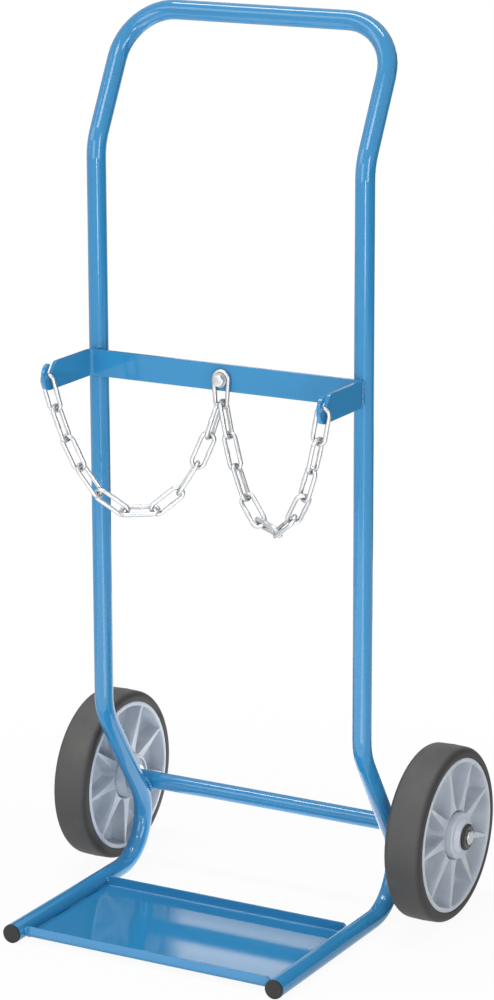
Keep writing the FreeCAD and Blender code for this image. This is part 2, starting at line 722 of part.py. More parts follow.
chain_axes = {}
frame_tube()
platform_tray()
chain_strap()
chain_bolt()
washer("front_washer", head_back)
washer("rear_washer", -tube_radius)
lock_nut()
axle()
for word, side in (("left", -1), ("right", 1)):
    foot_plug(f"{word}_foot_plug", side)
    axle_end(word, side)
    wheel(word, side)
chains()
doc.recompute()

# Every feature has to be sound before anything is written
for feature in doc.Objects:
    if {"Invalid", "Error"} & set(feature.State):
        raise RuntimeError(f"{feature.Name} failed: {feature.State}")
for piece in pieces:
    if piece.Shape.isNull() or not piece.Shape.isValid() or len(piece.Shape.Solids) != 1:
        raise RuntimeError(f"{piece.Label} isn't one sound solid")
for piece in pieces:
    piece.Shape.exportStep(f"parts/{piece.Label}.step")
box = Part.makeCompound([piece.Shape for piece in pieces]).BoundBox
print(len(pieces), "pieces, box", box)
for word, (hook, end) in chain_axes.items():
    print(f"{word} chain swings about the line from", tuple(hook), "to", tuple(end))
print("axle centre", tuple(at(0, axle_y, axle_z)), "upright plane", upright_y, "wheel middle", wheel_x)
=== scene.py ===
import json
import math

import bmesh
import bpy
import numpy as np
from mathutils import Matrix, Vector


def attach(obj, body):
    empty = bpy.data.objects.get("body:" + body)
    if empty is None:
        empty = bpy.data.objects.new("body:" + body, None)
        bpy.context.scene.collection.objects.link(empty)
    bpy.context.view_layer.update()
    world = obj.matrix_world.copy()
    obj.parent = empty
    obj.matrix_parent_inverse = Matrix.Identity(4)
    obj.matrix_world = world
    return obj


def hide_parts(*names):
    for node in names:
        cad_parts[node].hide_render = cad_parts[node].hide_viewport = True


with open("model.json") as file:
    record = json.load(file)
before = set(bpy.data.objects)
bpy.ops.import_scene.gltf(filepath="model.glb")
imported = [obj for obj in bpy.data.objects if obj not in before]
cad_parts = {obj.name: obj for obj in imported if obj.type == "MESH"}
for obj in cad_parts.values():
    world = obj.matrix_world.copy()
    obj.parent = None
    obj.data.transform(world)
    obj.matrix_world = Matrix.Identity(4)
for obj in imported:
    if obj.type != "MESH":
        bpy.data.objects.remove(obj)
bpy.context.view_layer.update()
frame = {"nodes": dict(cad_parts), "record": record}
nodes = frame["nodes"]
slotOf = {row["node"]: row["material_slot"] for row in frame["record"]["subparts"]}
bodyOf = {node: body for body, held in frame["record"]["behaviour"]["bodies"].items() for node in held}
print("frame loaded,", len(nodes), "nodes")

# the view of the photograph: lengths in metres, the lens and its axis in pixels of the picture
viewpoint = {
    "azimuth": 28.82,
    "elevation": 14.80,
    "roll": -0.12,
    "distance": 4.70067,
    "target": (0.05142, 0.00462, 0.59866),
    "focalPixels": 3440.32,
    "axisPixel": (262.28, 506.08),
    "picture": (494, 1000),
    "sensor": 36.0,
    "farClip": 50.0,
}


def addCamera():
    v = viewpoint
    az, el, roll = (math.radians(v[key]) for key in ("azimuth", "elevation", "roll"))
    back = Vector((math.sin(az) * math.cos(el), -math.cos(az) * math.cos(el), math.sin(el)))
    level = Vector((math.cos(az), math.sin(az), 0))
    upright = back.cross(level)
    right = math.cos(roll) * level + math.sin(roll) * upright
    up = math.cos(roll) * upright - math.sin(roll) * level
    camera = bpy.data.objects.new("camera", bpy.data.cameras.new("camera"))
    bpy.context.scene.collection.objects.link(camera)
    camera.matrix_world = Matrix.Translation(Vector(v["target"]) + v["distance"] * back) @ Matrix(
        (right, up, back)).transposed().to_4x4()
    longSide = max(v["picture"])
    camera.data.sensor_width = v["sensor"]
    camera.data.lens = v["focalPixels"] / longSide * v["sensor"]
    camera.data.shift_x = (v["picture"][0] / 2 - v["axisPixel"][0]) / longSide
    camera.data.shift_y = (v["axisPixel"][1] - v["picture"][1] / 2) / longSide
    camera.data.clip_end = v["farClip"]
    bpy.context.scene.camera = camera


bevelSamples = 4


# a socket of a shader tree: sums of sockets and numbers become Math nodes, node() adds any other node
class Signal:
    def __init__(self, tree, socket=None):
        self.tree = tree
        self.socket = socket

    def node(self, kind, settings=None, inputs=None, output=0):
        made = self.tree.nodes.new(kind)
        for name, value in (settings or {}).items():
            setattr(made, name, value)
        for name, value in (inputs or {}).items():
            if isinstance(value, Signal):
                self.tree.links.new(value.socket, made.inputs[name])
            else:
                made.inputs[name].default_value = value
        return Signal(self.tree, made.outputs[output] if made.outputs else None)

    def math(self, operation, first, second=0.0):
        return self.node("ShaderNodeMath", {"operation": operation}, {0: first, 1: second})

    def __add__(self, other):
        return self.math("ADD", self, other)

    def __sub__(self, other):
        return self.math("SUBTRACT", self, other)

    def __rsub__(self, other):
        return self.math("SUBTRACT", other, self)

    def __mul__(self, other):
        return self.math("MULTIPLY", self, other)

    def __pow__(self, other):
        return self.math("POWER", self, other)

    __radd__ = __add__
    __rmul__ = __mul__

    def ramp(self, low, high):
        # nought below low, one above high, a smooth rise between them
        return self.node("ShaderNodeMapRange", {"interpolation_type": "SMOOTHSTEP"},
                         {"Value": self, "From Min": low, "From Max": high})

    def mix(self, first, second):
        return self.node("ShaderNodeMix", {"data_type": "RGBA"}, {0: self, 6: first, 7: second}, 2)

    def place(self):
        return self.node("ShaderNodeTexCoord", output="Object")

    def axis(self, which):
        return self.node("ShaderNodeSeparateXYZ", None, {0: self.place()}, which)

    def noise(self, scale, detail=2.0):
        return self.node("ShaderNodeTexNoise", None,
                         {"Vector": self.place(), "Scale": scale, "Detail": detail})

    def bump(self, height, distance, edge=None):
        inputs = {"Distance": distance, "Height": height}
        if edge:
            inputs["Normal"] = self.node("ShaderNodeBevel", {"samples": bevelSamples}, {"Radius": edge})
        return self.node("ShaderNodeBump", None, inputs)


def newFinish(name):
    material = bpy.data.materials.new(name)
    material.use_nodes = True
    material.node_tree.nodes.clear()
    return material, Signal(material.node_tree)


def surface(start, **sockets):
    shader = start.node("ShaderNodeBsdfPrincipled", None, {
        key.replace("_", " "): value for key, value in sockets.items()})
    start.node("ShaderNodeOutputMaterial", None, {"Surface": shader})


def rgb(colour):
    return (*colour, 1.0)


bluePaint = {
    "colour": (0.025, 0.205, 0.420),
    "deep": (0.021, 0.190, 0.396),
    "rough": 0.06,
    "roughDrift": 0.03,
    "drift": 7.0,
    "peel": 650.0,
    "peelDetail": 1.0,
    "peelHeight": 0.000006,
    "edge": 0.0009,
    "ior": 1.5,
}


def bluePowderCoat():
    # powder coat: a slow drift of the blue and the gloss, a fine orange peel, softened edges
    p = bluePaint
    material, start = newFinish("blue_powder_coat")
    drift = start.noise(p["drift"])
    bump = start.bump(start.noise(p["peel"], p["peelDetail"]), p["peelHeight"], p["edge"])
    surface(start, Base_Color=drift.mix(rgb(p["deep"]), rgb(p["colour"])),
            Roughness=p["rough"] + p["roughDrift"] * drift, Normal=bump, IOR=p["ior"])
    return material


zincPlate = {
    "colour": (0.53, 0.535, 0.54),
    "dull": (0.43, 0.435, 0.44),
    "rough": 0.32,
    "roughDrift": 0.10,
    "cloud": 45.0,
    "cloudDetail": 3.0,
    "pits": 520.0,
    "pitDetail": 1.0,
    "pitDepth": 0.00003,
    "edge": 0.0005,
}


def brightZinc():
    # zinc plate: cloudy gloss and the small unevenness of drawn wire
    p = zincPlate
    material, start = newFinish("bright_zinc_plate")
    cloud = start.noise(p["cloud"], p["cloudDetail"])
    bump = start.bump(start.noise(p["pits"], p["pitDetail"]), p["pitDepth"], p["edge"])
    surface(start, Base_Color=cloud.mix(rgb(p["dull"]), rgb(p["colour"])), Metallic=1.0,
            Roughness=p["rough"] + p["roughDrift"] * cloud, Normal=bump)
    return material


drawnSteel = {
    "colour": (0.46, 0.47, 0.48),
    "rough": 0.22,
    "roughDrift": 0.08,
    "drift": 300.0,
    "axle": (0.12538, 0.125),
    "ringPitch": 0.0009,
    "ringDepth": 0.00003,
    "edge": 0.0005,
}


def turnedSteel():
    # turned steel: fine rings about the axle's line, from the distance to that line
    p = drawnSteel
    material, start = newFinish("turned_steel")
    across = start.axis(1) - p["axle"][0]
    up = start.axis(2) - p["axle"][1]
    away = (across * across + up * up) ** 0.5
    rings = start.math("SINE", away * (2 * math.pi / p["ringPitch"]))
    bump = start.bump(rings, p["ringDepth"], p["edge"])
    surface(start, Base_Color=rgb(p["colour"]), Metallic=1.0,
            Roughness=p["rough"] + p["roughDrift"] * start.noise(p["drift"]), Normal=bump)
    return material


tyreRubber = {
    "colour": (0.052, 0.051, 0.050),
    "scuff": (0.078, 0.077, 0.075),
    # side-wall colour: painted shade, darker than the tread
    "shadedWall": (0.024, 0.024, 0.024),
    "middle": 0.26765,
    "shadedWallFrom": 0.019,
    "shadedWallTo": 0.0265,
    "scuffScale": 14.0,
    "scuffDetail": 4.0,
    "scuffFrom": 0.52,
    "scuffTo": 0.78,
    "rough": 0.58,
    "roughDrift": 0.14,
    "grain": 1400.0,
    "grainDepth": 0.00008,
    "ior": 1.45,
}


def greyRubber():
    # moulded rubber: matt grain and a few pale scuffs on the tread; the side walls carry no scuffs and are
    # painted darker, painted shade for faces turned away from the main light
    p = tyreRubber
    material, start = newFinish("grey_tyre_rubber")
    scuff = start.noise(p["scuffScale"], p["scuffDetail"]).ramp(p["scuffFrom"], p["scuffTo"])
    aside = start.math("ABSOLUTE", start.math("ABSOLUTE", start.axis(0)) - p["middle"])
    # painted shade mask: one on the side walls, nought on the tread
    shadedWall = aside.ramp(p["shadedWallFrom"], p["shadedWallTo"])
    bump = start.bump(start.noise(p["grain"]), p["grainDepth"])
    surface(start, Base_Color=shadedWall.mix(scuff.mix(rgb(p["colour"]), rgb(p["scuff"])), rgb(p["shadedWall"])),
            Roughness=p["rough"] + p["roughDrift"] * scuff, Normal=bump, IOR=p["ior"])
    return material


plasticFlow = {
    "scale": 22.0,
    "detail": 3.0,
    "from": 0.35,
    "to": 0.7,
    "roughDrift": 0.08,
    "grainDetail": 1.0,
    "ior": 1.48,
}
mouldings = {
    "black_plastic": {
        "name": "black_moulded_plastic", "colour": (0.020, 0.020, 0.021), "pale": (0.026, 0.026, 0.027),
        "rough": 0.62, "grain": 900.0, "depth": 0.00005, "edge": 0.0006, "ior": 1.3},
    "black_spring_steel": {
        "name": "black_spring_steel", "colour": (0.014, 0.014, 0.015), "pale": (0.022, 0.022, 0.023),
        "rough": 0.26, "grain": 500.0, "depth": 0.00003},
    "grey_plastic": {
        "name": "grey_rim_plastic", "colour": (0.425, 0.466, 0.525), "pale": (0.520, 0.563, 0.622),
        "rough": 0.34, "grain": 800.0, "depth": 0.00004, "edge": 0.0008},
    "bush_plastic": {
        "name": "pale_bush_plastic", "colour": (0.56, 0.56, 0.53), "pale": (0.62, 0.62, 0.59),
        "rough": 0.4, "grain": 800.0, "depth": 0.00004},
}


def mouldedPlastic(name, colour, pale, rough, grain, depth, edge=None, ior=plasticFlow["ior"]):
    # moulded plastic: faint flow marks in the colour and gloss over a fine grain
    p = plasticFlow
    material, start = newFinish(name)
    flow = start.noise(p["scale"], p["detail"]).ramp(p["from"], p["to"])
    bump = start.bump(start.noise(grain, p["grainDetail"]), depth, edge)
    surface(start, Base_Color=flow.mix(rgb(colour), rgb(pale)), Roughness=rough + p["roughDrift"] * flow,
            Normal=bump, IOR=ior)
    return material


finishes = {
    "blue_paint": bluePowderCoat(),
    "bright_zinc": brightZinc(),
    "steel": turnedSteel(),
    "grey_rubber": greyRubber(),
    **{slot: mouldedPlastic(**values) for slot, values in mouldings.items()},
}
for name, piece in nodes.items():
    piece.data.materials.clear()
    piece.data.materials.append(finishes[slotOf[name]])
print("finishes set")

mm = 0.001
sharpAngle = math.radians(48)
mergeDistance = 1e-6


# grids of points in millimetres become quads between neighbouring rows and columns; a closed way joins its
# last line to its first, and points that fall together at a pole are merged
def gridPiece(name, grids, slot, body, stands=()):
    corners, quads, start = [], [], 0
    for points, closedRows, closedColumns in grids:
        rows, columns = points.shape[:2]
        index = start + np.arange(rows * columns).reshape(rows, columns)
        if closedRows:
            index = np.vstack([index, index[:1]])
        if closedColumns:
            index = np.hstack([index, index[:, :1]])
        around = [index[:-1, :-1], index[1:, :-1], index[1:, 1:], index[:-1, 1:]]
        quads.append(np.stack(around, -1).reshape(-1, 4))
        corners.append(points.reshape(-1, 3) * mm)
        start += rows * columns
    mesh = bpy.data.meshes.new(name)
    mesh.from_pydata(np.vstack(corners).tolist(), [], np.vstack(quads).tolist())
    shell = bmesh.new()
    shell.from_mesh(mesh)
    bmesh.ops.remove_doubles(shell, verts=shell.verts, dist=mergeDistance)
    bmesh.ops.recalc_face_normals(shell, faces=shell.faces)
    shell.to_mesh(mesh)
    shell.free()
    mesh.shade_smooth()
    mesh.set_sharp_from_angle(angle=sharpAngle)
    mesh.materials.append(finishes[slot])
    piece = bpy.data.objects.new(name, mesh)
    bpy.context.scene.collection.objects.link(piece)
    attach(piece, body)
    if stands:
        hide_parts(*stands)
    return piece


def smooth(value):
    # the smooth step: nought below nought, one above one
    t = np.clip(value, 0, 1)
    return t * t * (3 - 2 * t)


# a closed profile with its corners rounded: each corner becomes a curve between points one radius from it
def roundedProfile(corners, radius, steps=5):
    c = np.array(corners, float)
    before, after = np.roll(c, 1, 0) - c, np.roll(c, -1, 0) - c
    enter = c + before * (radius / np.linalg.norm(before, axis=1))[:, None]
    leave = c + after * (radius / np.linalg.norm(after, axis=1))[:, None]
    t = np.linspace(0, 1, steps)[None, :, None]
    curve = (1 - t) ** 2 * enter[:, None] + 2 * t * (1 - t) * c[:, None] + t ** 2 * leave[:, None]
    return curve.reshape(-1, 2)


# a lathe shape: places along the line and radii, carried round the line; radius may differ from turn to turn
def turnedGrid(along, radius, centre, order, side=1):
    turn = np.linspace(0, 2 * math.pi, radius.shape[1], endpoint=False)
    points = np.empty((*radius.shape, 3))
    points[..., order[0]] = centre[order[0]] + side * along[:, None]
    points[..., order[1]] = centre[order[1]] + radius * np.cos(turn)
    points[..., order[2]] = centre[order[2]] + radius * np.sin(turn)
    return points


alongX, alongY = (0, 1, 2), (1, 2, 0)
sideSigns = {"left": -1, "right": 1}

chainWire = {
    "wire": 6.0,
    "width": 24.0,
    "innerLength": 45.2,
    "centreLength": 42.5,
    "centreBulge": 2.2,
    "weldSwell": 0.15,
    "weldLength": 4.5,
    "crownSteps": 22,
    "straightSteps": 16,
    "ringSteps": 18,
}


# a node's own middle and axes, longest first: the spread of its triangles, weighted by their areas
def ownAxes(node):
    mesh = nodes[node].data
    mesh.calc_loop_triangles()
    spots = np.empty(len(mesh.vertices) * 3)
    mesh.vertices.foreach_get("co", spots)
    picks = np.empty(len(mesh.loop_triangles) * 3, int)
    mesh.loop_triangles.foreach_get("vertices", picks)
    corners = spots.reshape(-1, 3)[picks].reshape(-1, 3, 3) / mm
    sides = corners[:, 1:] - corners[:, :1]
    area = np.linalg.norm(np.cross(sides[:, 0], sides[:, 1]), axis=1)
    middles = corners.mean(1)
    middle = (middles * area[:, None]).sum(0) / area.sum()
    spread = (middles - middle) * np.sqrt(area)[:, None]
    axes = np.linalg.eigh(spread.T @ spread)[1]
    return middle, axes[:, 2], axes[:, 1]


# a link: the wire's circle carried round two crowns and the straights that touch both; beside the middle of
# one straight the wire swells into its weld
def linkGrid(half, frontBend, rearBend):
    c = chainWire
    lean = math.acos((rearBend - frontBend) / (2 * half))
    front = np.linspace(-lean, lean, c["crownSteps"])
    rear = np.linspace(lean, 2 * math.pi - lean, c["crownSteps"])
    share = np.linspace(0, 1, c["straightSteps"] + 2)[1:-1]
    angle = np.concatenate([front, np.full(share.size, lean), rear, np.full(share.size, -lean)])
    centre = np.concatenate([np.full(front.size, half), half - 2 * half * share, np.full(rear.size, -half),
                             2 * half * share - half])
    bend = np.concatenate([np.full(front.size, frontBend), frontBend + (rearBend - frontBend) * share,
                           np.full(rear.size, rearBend), rearBend + (frontBend - rearBend) * share])
    outward = np.stack([np.cos(angle), np.sin(angle), 0 * angle], -1)
    line = np.stack([centre, 0 * angle, 0 * angle], -1) + bend[:, None] * outward
    swell = 1 + c["weldSwell"] * np.exp(-(line[:, 0] / c["weldLength"]) ** 2) * (line[:, 1] > 0)
    ring = np.linspace(0, 2 * math.pi, c["ringSteps"], endpoint=False)
    radius = (swell * c["wire"] / 2)[:, None, None]
    return line[:, None] + radius * (np.cos(ring)[None, :, None] * outward[:, None]
                                     + np.sin(ring)[None, :, None] * np.array([0, 0, 1.0]))


def addChain():
    c = chainWire
    bend = (c["width"] - c["wire"]) / 2
    for count, node in enumerate(name for name in nodes if "chain_link" in name):
        middle, ahead, aside = ownAxes(node)
        inner, frontBend, shift = c["innerLength"], bend, 0
        if node == "centre_chain_link":
            # the middle link is spread wider where it hangs on the bolt
            inner, frontBend, shift = c["centreLength"], bend + c["centreBulge"], c["centreBulge"] / 2
            ahead = ahead * np.sign(ahead[2])
        if count % 2:
            aside = -aside
        half = (inner + 2 * c["wire"] - c["width"]) / 2
        grid = linkGrid(half, frontBend, bend)
        grid[..., 0] += shift
        points = middle + grid @ np.stack([ahead, aside, np.cross(ahead, aside)])
        name = node.replace("chain_link", "welded_link")
        gridPiece(name, [(points, True, True)], slotOf[node], bodyOf[node], [node])


wheelSizes = {
    "centre": (267.65, 125.38, 125.0),
    "steps": 180,
    "treadRadius": 124.75,
    "halfWidth": 27.5,
    "treadHalf": 18.5,
    "treadSteps": 41,
    "treadCrowding": 1.8,
    "crown": 0.5,
    "crownPower": 3.6,
    "seamHeight": 0.25,
    "seamWidth": 0.45,
    "shoulder": 9.0,
    "shoulderSteps": 12,
    "rimRadius": 109.45,
    "rimGap": 0.1,
    "bead": 1.6,
    "beadSteps": 6,
}


def addTyre(word, side):
    # tyre profile: a slightly crowned tread with the mould's seam in its middle, round shoulders and beads
    w = wheelSizes
    spread = np.linspace(-1, 1, w["treadSteps"])
    tread = w["treadHalf"] * np.sign(spread) * np.abs(spread) ** w["treadCrowding"]
    height = (w["treadRadius"] - w["crown"] * np.abs(spread) ** w["crownPower"]
              + w["seamHeight"] * np.exp(-(tread / w["seamWidth"]) ** 2))
    shoulderTurn = np.linspace(0, math.pi / 2, w["shoulderSteps"])[1:]
    shoulderX = w["treadHalf"] + w["shoulder"] * np.sin(shoulderTurn)
    shoulderR = height[-1] - w["shoulder"] * (1 - np.cos(shoulderTurn))
    beadTurn = np.linspace(0, math.pi / 2, w["beadSteps"])
    beadX = w["halfWidth"] - w["bead"] * (1 - np.cos(beadTurn))
    beadR = w["rimRadius"] + w["rimGap"] + w["bead"] * (1 - np.sin(beadTurn))
    halfX, halfR = np.concatenate([shoulderX, beadX]), np.concatenate([shoulderR, beadR])
    along = np.concatenate([tread, halfX, -halfX[::-1]])
    radius = np.concatenate([height, halfR, halfR[::-1]])
    centre = (side * w["centre"][0], *w["centre"][1:])
    points = turnedGrid(along, np.repeat(radius[:, None], w["steps"], 1), centre, alongX)
    node = f"{word}_tyre"
    gridPiece(f"{word}_moulded_tyre", [(points, True, True)], slotOf[node], bodyOf[node], [node])


rimShape = {
    "ribs": 9,
    "firstRib": {"right": 22.0, "left": 185.0},
    "web": 3.0,
    "ribFace": 25.5,
    "lipFace": 27.4,
    "bossRadius": 36.4,
    "bossWall": 1.9,
    "boreRadius": 33.6,
    "boreEdge": 2.6,
    "hubSeat": 32.6,
    "lipFoot": 99.5,
    "lipTop": 103.6,
    "ribRoot": 6.4,
    "ribTip": 1.7,
    "rootFlare": 3.4,
    "flareLength": 6.0,
    "wallRun": 1.5,
    "outerDrop": 0.8,
    "radialSteps": (8, 8, 22, 12, 7),
    "edgeMost": 0.40,
    "footMost": 0.48,
    "topShares": (0, 0.5, 0.85),
    "wallShares": (0, 0.12, 0.28, 0.45, 0.6, 0.75, 0.9, 1.0),
    "webShares": (0.2, 0.5, 0.8),
}


def addRim(word, side):
    # rim face over radius and angle: the web rises in smooth steps to the boss, the lip and nine tapering
    # ribs, joined so that one minus the rise is the product of one minus each; the columns follow the walls
    s = rimShape
    w = wheelSizes
    stops = [s["boreRadius"], s["bossRadius"], s["bossRadius"] + s["bossWall"], s["lipFoot"], s["lipTop"],
             w["rimRadius"]]
    radii = np.concatenate([stops[:1]] + [np.linspace(low, high, steps)[1:] for low, high, steps
                                          in zip(stops, stops[1:], s["radialSteps"])])
    taper = (radii - s["bossRadius"]) / (s["lipTop"] - s["bossRadius"])
    halfRib = (s["ribRoot"] + (s["ribTip"] - s["ribRoot"]) * taper
               + s["rootFlare"] * np.exp(-np.maximum(radii - s["bossRadius"], 0) / s["flareLength"]))
    sector = 2 * math.pi / s["ribs"]
    halfFoot = halfRib + s["wallRun"]
    edge = np.minimum(np.arcsin(np.clip(halfRib / radii, 0, 1)), s["edgeMost"] * sector)[:, None]
    foot = np.minimum(np.arcsin(np.clip(halfFoot / radii, 0, 1)), s["footMost"] * sector)[:, None]
    onTop = np.array(s["topShares"]) * edge
    onWall = edge + np.array(s["wallShares"]) * (foot - edge)
    onWeb = foot + np.array(s["webShares"]) * (sector / 2 - foot)
    halfTurn = np.hstack([onTop, onWall, onWeb])
    turn = np.hstack([halfTurn, np.full((radii.size, 1), sector / 2), sector - halfTurn[:, :0:-1]])
    fromRib = np.minimum(turn, sector - turn)
    rib = 1 - smooth((fromRib - edge) / (foot - edge))
    boss = 1 - smooth((radii - s["bossRadius"]) / s["bossWall"])[:, None]
    lip = smooth((radii - s["lipFoot"]) / (s["lipTop"] - s["lipFoot"]))[:, None]
    rise = 1 - (1 - rib) * (1 - boss) * (1 - lip)
    bore = 1 - smooth((radii - s["boreRadius"]) / s["boreEdge"])[:, None]
    height = (s["web"] + (s["ribFace"] - s["web"]) * rise + (s["lipFace"] - s["ribFace"]) * lip
              - s["boreEdge"] * bore)
    height[-1] -= s["outerDrop"]
    first = math.radians(s["firstRib"][word])
    whole = np.concatenate([turn + first + sector * k for k in range(s["ribs"])], 1)
    face = np.tile(height, (1, s["ribs"]))
    reach = np.repeat(radii[:, None], whole.shape[1], 1)
    hub = np.full((1, whole.shape[1]), s["hubSeat"])
    angles = np.vstack([whole[:1], whole, whole[::-1], whole[:1]])
    reaches = np.vstack([hub, reach, reach[::-1], hub])
    heights = np.vstack([np.full_like(hub, s["web"]), face, -face[::-1], np.full_like(hub, -s["web"])])
    points = np.stack([side * w["centre"][0] + heights, w["centre"][1] + reaches * np.cos(angles),
                       w["centre"][2] + reaches * np.sin(angles)], -1)
    node = f"{word}_rim"
    gridPiece(f"{word}_ribbed_rim", [(points, True, True)], slotOf[node], bodyOf[node], [node])


lockRing = {
    "start": 308.95,
    "profile": [(0, 18.8), (2.7, 18.8), (4.5, 16.4), (4.5, 10.05),
                (3.2, 10.05), (3.0, 15.0), (1.4, 17.3), (0, 17.3)],
    "round": 0.45,
    "teeth": 32,
    "toothDepth": 0.7,
    "toothStart": 13.0,
    "toothRun": 3.0,
    "steps": 192,
}


def addLockRing(word, side):
    # a domed push-on ring with fine teeth pressed round its edge: the radius dips by a cosine of the angle
    p = lockRing
    profile = roundedProfile(p["profile"], p["round"])
    turn = np.linspace(0, 2 * math.pi, p["steps"], endpoint=False)
    weight = smooth((profile[:, 1] - p["toothStart"]) / p["toothRun"])[:, None]
    radius = profile[:, 1:] - weight * p["toothDepth"] * (0.5 + 0.5 * np.cos(p["teeth"] * turn))
    centre = (side * p["start"], *wheelSizes["centre"][1:])
    points = turnedGrid(profile[:, 0], radius, centre, alongX, side)
    node = f"{word}_lock_ring"
    gridPiece(f"{word}_toothed_ring", [(points, True, True)], slotOf[node], bodyOf[node], [node])


boltShape = {
    "centre": (0.0, 0.0, 774.5),
    "headFront": -28.83,
    "headBack": -22.43,
    "acrossFlats": 15.9,
    "headDepths": (0, 0, 0.2, 0.7, 1.2, 1.6),
    "headCone": (0, 6.789, 7.3, 8.0, 8.7, 9.2),
    "sideFrom": 2.4,
    "sideSteps": 3,
    "shank": 4.98,
    "collar": 7.6,
    "collarFrom": -20.3,
    "collarTo": -14.0,
    "threadFrom": -6.0,
    "threadSteps": 72,
    "end": 6.1,
    "endRun": 0.8,
    "endChamfer": 0.9,
    "pitch": 1.5,
    "threadDepth": 0.5,
    "nutStart": -6.83,
    "nutDepths": (0, 0, 0.5, 1.1, 6.9, 7.5, 8.0, 8.0, 8.0, 9.3, 9.85, 9.98, 9.98),
    "nutCone": (5.1, 7.4, 8.3, 9.2, 9.2, 8.3, 7.6, 7.1, 7.1, 7.1, 6.7, 6.2, 5.1),
    "steps": 96,
}


def hexRadius(acrossFlats, turn):
    # distance from the middle to a hexagon's side at each angle
    sixth = math.pi / 3
    return acrossFlats / 2 / np.cos((turn + sixth / 2) % sixth - sixth / 2)


def addBolt():
    # bolt: a hexagon cut by a cone at its face, a round collar in the link, a shank with a helical thread
    b = boltShape
    turn = np.linspace(0, 2 * math.pi, b["steps"], endpoint=False)
    hexagon = hexRadius(b["acrossFlats"], turn)[None]
    headY = np.array(b["headDepths"]) + b["headFront"]
    head = np.minimum(hexagon, np.array(b["headCone"])[:, None])
    sideY = np.linspace(b["headFront"] + b["sideFrom"], b["headBack"], b["sideSteps"])
    side = np.repeat(hexagon, b["sideSteps"], 0)
    plainY = np.array([b["headBack"], b["collarFrom"], b["collarFrom"], b["collarTo"], b["collarTo"]])
    plain = np.array([b["shank"], b["shank"], b["collar"], b["collar"], b["shank"]])
    threadY = np.linspace(b["threadFrom"], b["end"] - b["endRun"], b["threadSteps"])
    wave = np.cos(2 * math.pi * threadY[:, None] / b["pitch"] - turn)
    thread = b["shank"] - b["threadDepth"] * (0.5 - 0.5 * wave)
    endY = np.array([b["end"], b["end"]])
    end = np.array([b["shank"] - b["endChamfer"], 0])
    plain, end = (np.repeat(row[:, None], b["steps"], 1) for row in (plain, end))
    along = np.concatenate([headY, sideY, plainY, threadY, endY])
    radius = np.vstack([head, side, plain, thread, end])
    points = turnedGrid(along, radius, b["centre"], alongY)
    gridPiece("hexagon_bolt", [(points, False, True)], slotOf["chain_bolt"], "frame", ["chain_bolt"])

    # lock nut: a hexagon cut by cones, with a round collar behind it, bored right through
    nut = np.minimum(hexagon, np.array(b["nutCone"])[:, None])
    points = turnedGrid(np.array(b["nutDepths"]) + b["nutStart"], nut, b["centre"], alongY)
    gridPiece("locking_nut", [(points, True, True)], slotOf["lock_nut"], "frame", ["lock_nut"])


weldBead = {
    "ripple": 0.30,
    "pitch": 3.4,
    "ringSteps": 14,
    "stepLength": 0.5,
    "taper": 4.0,
    "wander": ((0.06, 5.1), (0.04, 2.3)),
    "offAxis": (0.31, 0.83, 0.46),
}


# a weld bead: a circle carried along a path, its radius rippled like laid scales; open beads taper off at
# both ends
def beadGrid(path, radius, closed=False):
    b = weldBead
    step = np.linalg.norm(np.diff(path, axis=0), axis=1)
    run = np.concatenate([[0], np.cumsum(step)])
    ahead = (np.roll(path, -1, 0) - np.roll(path, 1, 0)) if closed else np.gradient(path, axis=0)
    ahead = ahead / np.linalg.norm(ahead, axis=1)[:, None]
    aside = np.cross(ahead, np.array(b["offAxis"]))
    aside = aside / np.linalg.norm(aside, axis=1)[:, None]
    upward = np.cross(ahead, aside)
    scale = (run / b["pitch"]) % 1
    wander = sum(share * np.sin(run / length) for share, length in b["wander"])
    thick = radius * (1 - b["ripple"] * scale ** 2 + wander)
    if not closed:
        fromEnd = np.minimum(run, run[-1] - run) / b["taper"]
        thick = thick * np.sqrt(np.clip(1 - (1 - np.clip(fromEnd, 0, 1)) ** 2, 0, 1))
    ring = np.linspace(0, 2 * math.pi, b["ringSteps"], endpoint=False)[None, :, None]
    around = np.cos(ring) * aside[:, None] + np.sin(ring) * upward[:, None]
    return path[:, None] + thick[:, None, None] * around


def straightPath(start, end):
    start, end = np.array(start, float), np.array(end, float)
    count = int(np.linalg.norm(end - start) / weldBead["stepLength"]) + 2
    return start + (end - start) * np.linspace(0, 1, count)[:, None]


axleWeld = {
    "tube": 13.45,
    "axle": 12.5,
    "sunk": 2.2,
    "bead": 4.1,
    "bendCentre": (38.92, 83.45),
    "bendRadius": 70.0,
    "contact": 25.67,
    "x": 206.45,
    "steps": 260,
}


def axlePath(side):
    # the loop of points at one distance from the frame tube's line and one from the axle tube's line: across
    # the tube by sine, out from it by cosine, along it by the root that is left, laid round the rear bend
    a = axleWeld
    reach = a["tube"] + a["sunk"]
    gap = a["tube"] + a["axle"]
    most = math.acos((gap - a["axle"] - a["sunk"]) / reach)
    t = np.linspace(0, 2 * math.pi, a["steps"], endpoint=False)
    angle = most * np.sin(t)
    out = reach * np.cos(angle)
    along = np.sqrt(np.clip((a["axle"] + a["sunk"]) ** 2 - (gap - out) ** 2, 0, None)) * np.sign(np.cos(t))
    turn = math.radians(a["contact"]) + along / (a["bendRadius"] + a["tube"])
    away = a["bendRadius"] + out
    return np.stack([side * a["x"] + reach * np.sin(angle), a["bendCentre"][0] + away * np.cos(turn),
                     a["bendCentre"][1] + away * np.sin(turn)], -1)


frameWelds = {
    "strapHeights": (759.0, 794.0),
    "strapOuter": (211.4, -9.7),
    "strapInner": (196.4, -6.9),
    "strapBead": 3.3,
    "trayX": 192.9,
    "trayZ": 5.6,
    "trayBead": 2.6,
    "trayStitches": ((-228.0, -196.0), (-150.0, -115.0), (-68.0, -36.0)),
    "lipBead": 2.6,
    "lipX": 192.2,
    "lipFront": -234.0,
    "lipBack": -15.8,
    "lipHeights": (12.0, 22.0),
}


